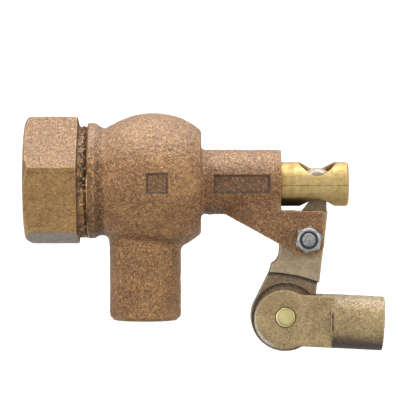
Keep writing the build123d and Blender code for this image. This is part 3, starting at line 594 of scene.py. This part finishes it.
nylon = plain_stuff("dark_nylon", (20, 26, 32), (44, 54, 62), 0.38, 0.5, 0.01)
rubber = plain_stuff("black_rubber", (16, 16, 16), (34, 33, 32), 0.62, 0.4, 0.02)
fibre = plain_stuff("red_fibre", (52, 30, 22), (96, 62, 44), 0.85, 0.5, 0.04)
sealant = plain_stuff("dry_sealant", (66, 42, 26), (196, 152, 112), 0.6, 1.8, 0.05)
teal_paint = plain_stuff("teal_speck", (28, 96, 98), (70, 140, 136), 0.6, 0.4, 0.02)


# ---- shapes ----------------------------------------------------------------------------------------------
BROAD_MM, CLOSE_MM, CLOSE_SHARE = 6.0, 1.8, 0.8  # the two scales of a casting's unevenness
STEPS_PER_TURN = 96
FADE_STEPS = 20
# A thread ridge's profile: (place along the axis in pitches, place off the wall in ridge heights). Negative
# stands in from the wall, and the foot is sunk a little into it.
RIDGE = ((0.46, 0.06), (0.12, -0.92), (0.0, -1.0), (-0.12, -0.92), (-0.46, 0.06))


def new_object(name, mesh):
    piece = bpy.data.objects.new(name, mesh)
    scene.collection.objects.link(piece)
    return piece


def finish_piece(piece, body, slot, material, replaces=()):
    """Gives a piece its material and its body, and hides the CAD nodes that it stands for. slot is not used."""
    piece.data.materials.clear()
    piece.data.materials.append(material)
    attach(piece, body)
    if replaces:
        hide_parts(*replaces)


def baked(piece):
    """Replaces a piece's mesh with what its modifiers make of it."""
    mesh = bpy.data.meshes.new_from_object(piece.evaluated_get(bpy.context.evaluated_depsgraph_get()))
    piece.modifiers.clear()
    piece.data = mesh
    return mesh


def merged_copy(name, node):
    """A copy of a CAD node's mesh with its split corners joined again."""
    mesh = frame["nodes"][node].data.copy()
    work = bmesh.new()
    work.from_mesh(mesh)
    bmesh.ops.remove_doubles(work, verts=work.verts, dist=0.001 * MM)
    work.to_mesh(mesh)
    work.free()
    if mesh.has_custom_normals:
        mesh.attributes.remove(mesh.attributes["custom_normal"])
    return new_object(name, mesh)


def unevenness(point):
    """How far a casting's surface stands out at a point in metres, from about -1 to 1."""
    broad = noise.noise(Vector(point) / (BROAD_MM * MM))
    return broad + CLOSE_SHARE * noise.noise(Vector(point) / (CLOSE_MM * MM))


def cast_skin(name, node, voxel_mm, uneven_mm, smooth, keep=None, seam=None):
    """A cast piece grown from a CAD node: one closed skin with softened edges and an uneven surface.
    keep(points, normals) is 1 where a surface was machined and stays true. seam(points, normals) is a ridge.
    Both take and give millimetres."""
    piece = merged_copy(name, node)
    skin = piece.modifiers.new("skin", "REMESH")
    skin.mode = "VOXEL"
    skin.voxel_size = voxel_mm * MM * 1
    soften = piece.modifiers.new("soften", "SMOOTH")
    soften.factor = 0.5
    soften.iterations = smooth
    mesh = baked(piece)
    count = len(mesh.vertices)
    points = np.empty(count * 3, np.float32)
    normals = np.empty(count * 3, np.float32)
    mesh.vertices.foreach_get("co", points)
    mesh.vertex_normals.foreach_get("vector", normals)
    points, normals = points.reshape(-1, 3), normals.reshape(-1, 3)
    height = np.array([unevenness(point) for point in points]) * uneven_mm * MM
    if keep:
        height *= 1 - keep(points / MM, normals)
    if seam:
        height += seam(points / MM, normals) * MM
    height -= height.max() * 0.5
    mesh.vertices.foreach_set("co", (points + normals * height[:, None]).astype(np.float32).ravel())
    mesh.update()
    mesh.shade_smooth()
    return piece


def crisp_copy(name, node, bevel_mm):
    """A machined piece: the CAD node's mesh with its sharp edges broken by a small round."""
    piece = merged_copy(name, node)
    work = bmesh.new()
    work.from_mesh(piece.data)
    bmesh.ops.dissolve_limit(work, angle_limit=math.radians(0.4), verts=work.verts, edges=work.edges)
    work.to_mesh(piece.data)
    work.free()
    bevel = piece.modifiers.new("broken_edges", "BEVEL")
    bevel.width = bevel_mm * MM
    bevel.segments = 2
    bevel.limit_method = "ANGLE"
    bevel.angle_limit = math.radians(28)
    bevel.use_clamp_overlap = True
    mesh = baked(piece)
    mesh.shade_smooth()
    mesh.set_sharp_from_angle(angle=math.radians(24))
    return piece


def thread(name, origin, axis, radius_mm, height_mm, pitch_mm, length_mm, taper=0.0, start_mm=0.6):
    """A female thread's helical ridge, standing in from a wall of the given radius."""
    axis = Vector(axis).normalized()
    side = axis.orthogonal().normalized()
    up = axis.cross(side)
    steps = int(length_mm / pitch_mm * STEPS_PER_TURN)
    mesh = bmesh.new()
    rings = []
    for i in range(steps + 1):
        turn = 2 * math.pi * i / STEPS_PER_TURN
        outward = side * math.cos(turn) + up * math.sin(turn)
        along = start_mm + pitch_mm * (0.5 + i / STEPS_PER_TURN)
        fade = min(1.0, i / FADE_STEPS, (steps - i) / FADE_STEPS)
        ring = []
        for offset, height in RIDGE:
            r = radius_mm - taper * along + height * height_mm * (fade if height < 0 else 1)
            x = along + offset * pitch_mm
            ring.append(mesh.verts.new(Vector(origin) + (axis * x + outward * r) * MM))
        rings.append(ring)
    for a, b in zip(rings, rings[1:]):
        for k in range(len(RIDGE)):
            n = (k + 1) % len(RIDGE)
            mesh.faces.new((a[k], a[n], b[n], b[k]))
    mesh.faces.new(rings[0][::-1])
    mesh.faces.new(rings[-1])
    bmesh.ops.recalc_face_normals(mesh, faces=mesh.faces)
    data = bpy.data.meshes.new(name)
    mesh.to_mesh(data)
    mesh.free()
    data.shade_smooth()
    data.set_sharp_from_angle(angle=math.radians(50))
    return new_object(name, data)


def lumps(name, places, seed):
    """Small uneven crumbs at given (point, size) places, joined into one mesh."""
    rng = random.Random(seed)
    mesh = bmesh.new()
    for point, size in places:
        made = bmesh.ops.create_icosphere(mesh, subdivisions=2, radius=1.0)["verts"]
        shift = Vector((rng.uniform(-9, 9), rng.uniform(-9, 9), rng.uniform(-9, 9)))
        turn = Matrix.Rotation(rng.uniform(0, 6.3), 3, Vector((rng.random(), rng.random(), 1)).normalized())
        squash = Vector((rng.uniform(0.6, 1.4), rng.uniform(0.6, 1.2), rng.uniform(0.4, 0.9)))
        for v in made:
            grown = v.co * (1 + 0.55 * noise.noise(v.co * 1.3 + shift))
            v.co = point + (turn @ (grown * squash)) * size
    data = bpy.data.meshes.new(name)
    mesh.to_mesh(data)
    mesh.free()
    data.shade_smooth()
    return new_object(name, data)


# ---- castings --------------------------------------------------------------------------------------------
# Limits that tell one surface of a casting from another. They lie inside its walls or in open space.
BORE_LIMIT_R = 12.0
BORE_LIMIT_X = 70.0
BARREL_LIMIT_R = 14.6
CHAMBER_LIMIT_R = 29.0
CHAMBER_LIMIT_Z = -27.0
PASSAGE_LIMIT_Z = -20.0
SPIGOT_LIMIT_Z = -30.0
HEX_LIMIT_R = 22.0
SEAM_HEIGHT, SEAM_HALF_WIDTH = 0.16, 0.45


def body_keep(p, n):
    """The spigot, the collar's face, the barrel's end and the guide bore are turned."""
    x, y, z = p.T
    spigot = z < spigot_bevel_top
    collar = x < collar_face + 0.6
    end = (np.abs(x - barrel_end) < 0.6) & (z > UNDER_BARREL_Z)
    bore = (np.hypot(y, z) < BORE_LIMIT_R) & (x > BORE_LIMIT_X)
    return (spigot | collar | end | bore).astype(float)


def body_seam(p, n):
    """The parting line left by the two halves of the mould, in the mid plane, on the outside only."""
    x, y, z = p.T
    outside = (np.hypot(y, z) > BARREL_LIMIT_R) | (z < SPIGOT_LIMIT_Z)
    outside &= (np.abs(n[:, 1]) < 0.5) & (x > collar_face + 7) & (z > spigot_bevel_top + 1)
    chamber = (np.hypot(x - GLOBE_X, np.hypot(y, z)) < CHAMBER_LIMIT_R) & (z > CHAMBER_LIMIT_Z)
    passage = (np.hypot(x - outlet_x, y) < outlet_r - 1.5) & (z < PASSAGE_LIMIT_Z)
    return SEAM_HEIGHT * np.exp(-((y / SEAM_HALF_WIDTH) ** 2)) * (outside & ~chamber & ~passage)


def hex_keep(p, n):
    """The ends, the neck and the inside are turned. The lower flats are smoother than the upper ones."""
    x, y, z = p.T
    turned = (x > HEX_END - 0.5) | (x < 0.4) | (np.hypot(y, z) < HEX_LIMIT_R)
    return np.where(turned, 1.0, np.where(n[:, 2] > 0.3, 0.0, 0.75))


body_casting = cast_skin("body_casting", "valve_body", 0.5, 0.18, smooth=2, keep=body_keep, seam=body_seam)
finish_piece(body_casting, "body", "cast_bronze", body_bronze, ["valve_body"])
hex_casting = cast_skin("hex_casting", "inlet_adapter", 0.45, 0.13, smooth=1, keep=hex_keep)
finish_piece(hex_casting, "body", "machined_bronze", hex_bronze, ["inlet_adapter"])
lever_casting = cast_skin("lever_casting", "lever", 0.32, 0.04, smooth=1)
finish_piece(lever_casting, "lever", "lever_bronze", lever_bronze, ["lever"])
clevis_casting = cast_skin("clevis_casting", "clevis", 0.36, 0.07, smooth=1)
finish_piece(clevis_casting, "arm", "clevis_bronze", clevis_bronze, ["clevis"])

# ---- turned and plated pieces ----------------------------------------------------------------------------
for node, body, slot, material, bevel_mm in (
    ("plunger", "plunger", "plunger_brass", plunger_brass, 0.12),
    ("clevis_bolt", "arm", "fastener_brass", pin_brass, 0.45),
    ("pivot_bolt", "body", "plated_steel", stud_steel, 0.12),
    ("lock_nut", "body", "plated_steel", zinc, 0.14),
    ("pivot_washer", "body", "plated_steel", zinc, 0.12),
    ("clevis_lock_washer", "arm", "plated_steel", zinc, 0.15),
):
    finish_piece(crisp_copy(node + "_finished", node, bevel_mm), body, slot, material, [node])

for node, material in (
    ("adapter_gasket", fibre), ("seat_gasket", fibre), ("seat_ring", seat_steel),
    ("disc_holder", inner_brass), ("seat_disc", rubber), ("disc_washer", inner_brass),
    ("disc_screw", inner_brass), ("plunger_o_rings", rubber), ("lever_bush", inner_brass),
    ("lock_nut_insert", nylon),
):
    mesh = frame["nodes"][node].data
    mesh.materials.clear()
    mesh.materials.append(material)

# ---- threads ---------------------------------------------------------------------------------------------
inlet_thread = thread(
    "inlet_thread", inlet["pos_m"], (1, 0, 0), inlet["dims"]["r_mm"],
    height_mm=1.0, pitch_mm=2.209, length_mm=16.0, taper=1 / 32,
)
finish_piece(inlet_thread, "body", "machined_bronze", inner_brass)
rod_thread = thread(
    "rod_thread", rod["pos_m"], -Vector(rod["axis"]), rod["dims"]["r_mm"],
    height_mm=0.6, pitch_mm=1.5875, length_mm=15.0,
)
finish_piece(rod_thread, "arm", "clevis_bronze", inner_brass)

# ---- pipe sealant pressed out of the joint between hex and collar ----------------------------------------
CRUMBS = 520
CRUMB_SIZES = (0.25, 0.35, 0.5, 0.75)
TEAL_ANGLE = math.radians(166)
TEAL_R = 26.2
rng = random.Random(7)
crumbs = []
for _ in range(CRUMBS):
    angle = rng.uniform(0, 2 * math.pi)
    size = rng.choice(CRUMB_SIZES) * rng.uniform(0.7, 1.3)
    x = rng.uniform(HEX_END + 0.3, collar_face - 0.3)
    r = gasket_high.z + 0.1 + rng.uniform(0, 0.25)
    crumbs.append((Vector((x, r * math.cos(angle), r * math.sin(angle))) * MM, size * MM))
finish_piece(lumps("sealant_crumbs", crumbs, 8), "body", "cast_bronze", sealant)
teal_place = Vector((HEX_END + 1.9, TEAL_R * math.cos(TEAL_ANGLE), TEAL_R * math.sin(TEAL_ANGLE))) * MM
finish_piece(lumps("teal_crumb", [(teal_place, 0.45 * MM)], 9), "body", "cast_bronze", teal_paint)


# ---- studio ----------------------------------------------------------------------------------------------
# The world's grey levels from straight down (0) to straight up (1). Below the horizon (0.5) they stand for
# light that comes back from the floor.
WORLD_LEVELS = (
    (0.0, 0.42), (0.15, 0.74), (0.36, 0.86), (0.48, 0.66), (0.56, 0.54), (0.75, 0.5), (1.0, 0.6),
)
FLOOR_Z, BACKDROP_Y, SWEEP_R = -0.3, 2.6, 1.2  # in metres
SWEEP_STEPS = 16


def studio_sweep():
    """A pale floor that curves up into a backdrop."""
    bend_y = BACKDROP_Y - SWEEP_R
    outline = [(-4.0, FLOOR_Z), (bend_y, FLOOR_Z)]
    for step in range(1, SWEEP_STEPS + 1):
        turn = math.radians(90 * step / SWEEP_STEPS)
        outline.append((bend_y + SWEEP_R * math.sin(turn), FLOOR_Z + SWEEP_R * (1 - math.cos(turn))))
    outline.append((BACKDROP_Y, 5.0))
    mesh = bmesh.new()
    rows = [[mesh.verts.new((x, y, z)) for y, z in outline] for x in (-6.0, 6.0)]
    for i in range(len(outline) - 1):
        mesh.faces.new((rows[0][i], rows[0][i + 1], rows[1][i + 1], rows[1][i]))
    data = bpy.data.meshes.new("studio_sweep")
    mesh.to_mesh(data)
    mesh.free()
    data.shade_smooth()
    sweep = new_object("studio_sweep", data)
    paper = Finish("pale_paper", metallic=0.0, roughness=0.9)
    paper.colour(paper.mix(paper.noise(300), (244, 244, 244), (252, 252, 252)))
    data.materials.append(paper.material)
    sweep.visible_glossy = False
    sweep.visible_diffuse = False


def studio_world():
    """Grey light from all round, with a level for each height above or below the horizon."""
    world = bpy.data.worlds.new("soft_studio")
    world.use_nodes = True
    scene.world = world
    tree = world.node_tree
    coordinates = tree.nodes.new("ShaderNodeTexCoord")
    height = tree.nodes.new("ShaderNodeSeparateXYZ")
    spread = tree.nodes.new("ShaderNodeMapRange")
    ramp = tree.nodes.new("ShaderNodeValToRGB")
    spread.inputs["From Min"].default_value = -1
    tree.links.new(coordinates.outputs["Generated"], height.inputs[0])
    tree.links.new(height.outputs["Z"], spread.inputs["Value"])
    tree.links.new(spread.outputs[0], ramp.inputs["Fac"])
    elements = ramp.color_ramp.elements
    while len(elements) < len(WORLD_LEVELS):
        elements.new(0.5)
    for element, (position, level) in zip(elements, WORLD_LEVELS):
        element.position = position
        element.color = (level, level, level * 1.01, 1)
    tree.links.new(ramp.outputs["Color"], tree.nodes["Background"].inputs["Color"])


def soft_light(name, place, aim, size, energy):
    lamp = bpy.data.lights.new(name, "AREA")
    lamp.shape = "RECTANGLE"
    lamp.size, lamp.size_y = size
    lamp.energy = energy
    piece = bpy.data.objects.new(name, lamp)
    scene.collection.objects.link(piece)
    piece.location = place
    piece.rotation_euler = (Vector(aim) - Vector(place)).to_track_quat("-Z", "Y").to_euler()


studio_sweep()
studio_world()
middle = Vector(((cad_bounds[0].x + cad_bounds[1].x) / 2, 0, -0.01))
soft_light("overhead", (middle.x, -0.14, 1.1), middle, (1.6, 0.6), 7.5)
soft_light("front_fill", (middle.x - 0.5, -1.5, 0.35), middle, (1.2, 1.2), 3)
soft_light("left_key", (middle.x - 1.0, -0.6, 0.15), middle, (0.4, 0.8), 3.5)
soft_light("right_key", (middle.x + 0.85, -0.6, 0.35), middle, (0.4, 0.5), 4)
soft_light("backdrop", (middle.x, 0.6, 2.2), (middle.x, 2.4, 0.2), (3.0, 1.5), 60)

# ---- camera, at the photograph's angle -------------------------------------------------------------------
VIEW_WIDTH = 0.1876
VIEW_DISTANCE = 1.125
VIEW_ELEVATION = math.radians(0.7)
VIEW_CENTRE = Vector((0.0816, 0, -0.0084))
SENSOR_WIDTH = 36
camera = bpy.data.objects.new("camera", bpy.data.cameras.new("camera"))
scene.collection.objects.link(camera)
camera.data.sensor_width = SENSOR_WIDTH
camera.data.lens = SENSOR_WIDTH * VIEW_DISTANCE / VIEW_WIDTH
camera.data.clip_end = 30
towards_camera = Vector((0, -math.cos(VIEW_ELEVATION), math.sin(VIEW_ELEVATION)))
camera.location = VIEW_CENTRE + VIEW_DISTANCE * towards_camera
camera.rotation_euler = (VIEW_CENTRE - camera.location).to_track_quat("-Z", "Y").to_euler()
scene.camera = camera
scene.view_settings.view_transform = "Standard"
